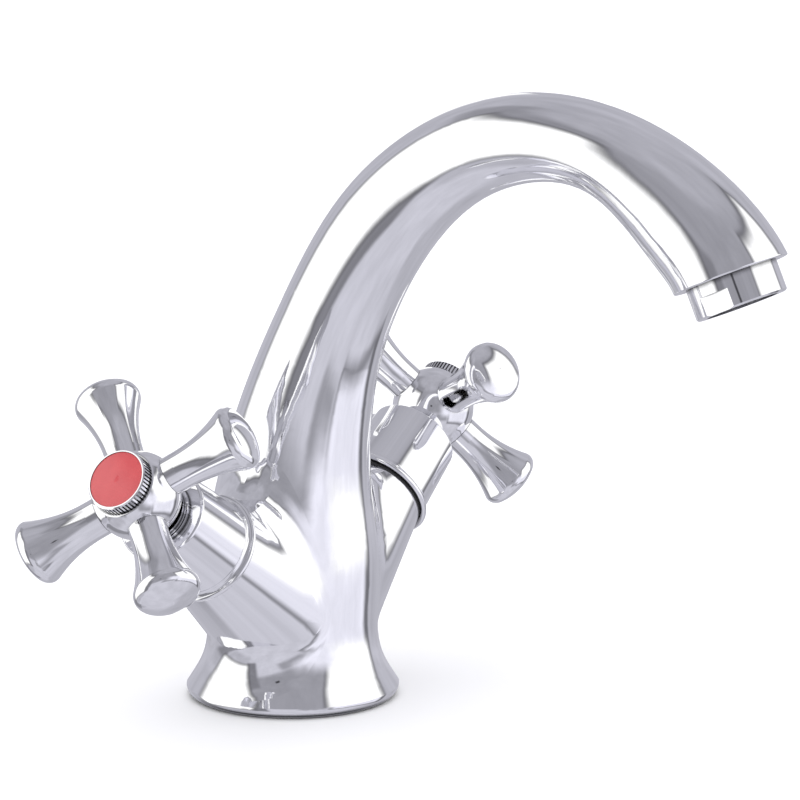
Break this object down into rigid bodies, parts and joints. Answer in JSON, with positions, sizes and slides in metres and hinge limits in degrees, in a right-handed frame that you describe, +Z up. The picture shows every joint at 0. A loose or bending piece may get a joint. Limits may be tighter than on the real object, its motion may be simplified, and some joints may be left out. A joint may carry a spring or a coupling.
{
  "type": "basin mixer tap",
  "caption": "Chrome basin mixer with a high arched spout, raised side valves, cross handles with red and blue index discs and an aerator at the outlet.",
  "frame": {"origin": "centre of the foot's underside, on the deck surface", "axes": "+Z up from the deck; the spout points towards -Y; the hot valve is on the -X side and the cold valve on +X"},
  "size_m": [0.1804, 0.1747, 0.1658],
  "materials": {
    "chrome": "polished chrome plate on cast brass",
    "brass": "machined brass",
    "steel": "stainless steel",
    "ceramic": "lapped alumina ceramic",
    "rubber": "black sealing rubber",
    "grey_plastic": "moulded grey plastic",
    "red_enamel": "gloss red",
    "blue_enamel": "gloss blue"
  },
  "bodies": {
    "faucet_body": {"body_casting": "chrome", "foot_seal": "rubber", "aerator_gasket": "rubber", "aerator_housing": "chrome", "aerator_flow_insert": "grey_plastic", "aerator_screen": "steel", "hot_seat_seal": "rubber", "hot_fixed_disc": "ceramic", "hot_headwork": "brass", "hot_thrust_washer": "grey_plastic", "hot_headwork_gasket": "rubber", "hot_bonnet_seal": "rubber", "hot_bonnet": "chrome", "hot_bonnet_nut": "chrome", "cold_seat_seal": "rubber", "cold_fixed_disc": "ceramic", "cold_headwork": "brass", "cold_thrust_washer": "grey_plastic", "cold_headwork_gasket": "rubber", "cold_bonnet_seal": "rubber", "cold_bonnet": "chrome", "cold_bonnet_nut": "chrome"},
    "hot_handle": {"hot_moving_disc": "ceramic", "hot_spindle": "brass", "hot_spindle_seals": "rubber", "hot_spindle_clip": "steel", "hot_handle_hub": "chrome", "hot_handle_arms": "chrome", "hot_handle_screw": "steel", "hot_index_button": "chrome", "hot_index_disc": "red_enamel"},
    "cold_handle": {"cold_moving_disc": "ceramic", "cold_spindle": "brass", "cold_spindle_seals": "rubber", "cold_spindle_clip": "steel", "cold_handle_hub": "chrome", "cold_handle_arms": "chrome", "cold_handle_screw": "steel", "cold_index_button": "chrome", "cold_index_disc": "blue_enamel"}
  },
  "joints": [
    {"name": "hot_handle_turn", "type": "hinge", "parent": "faucet_body", "child": "hot_handle", "pos_m": [-0.06893, -0.0004, 0.06648], "axis": [-0.8324, 0, 0.5541], "range_deg": [0, 180]},
    {"name": "cold_handle_turn", "type": "hinge", "parent": "faucet_body", "child": "cold_handle", "pos_m": [0.06893, -0.0004, 0.06648], "axis": [0.8324, 0, 0.5541], "range_deg": [0, 180]}
  ]
}
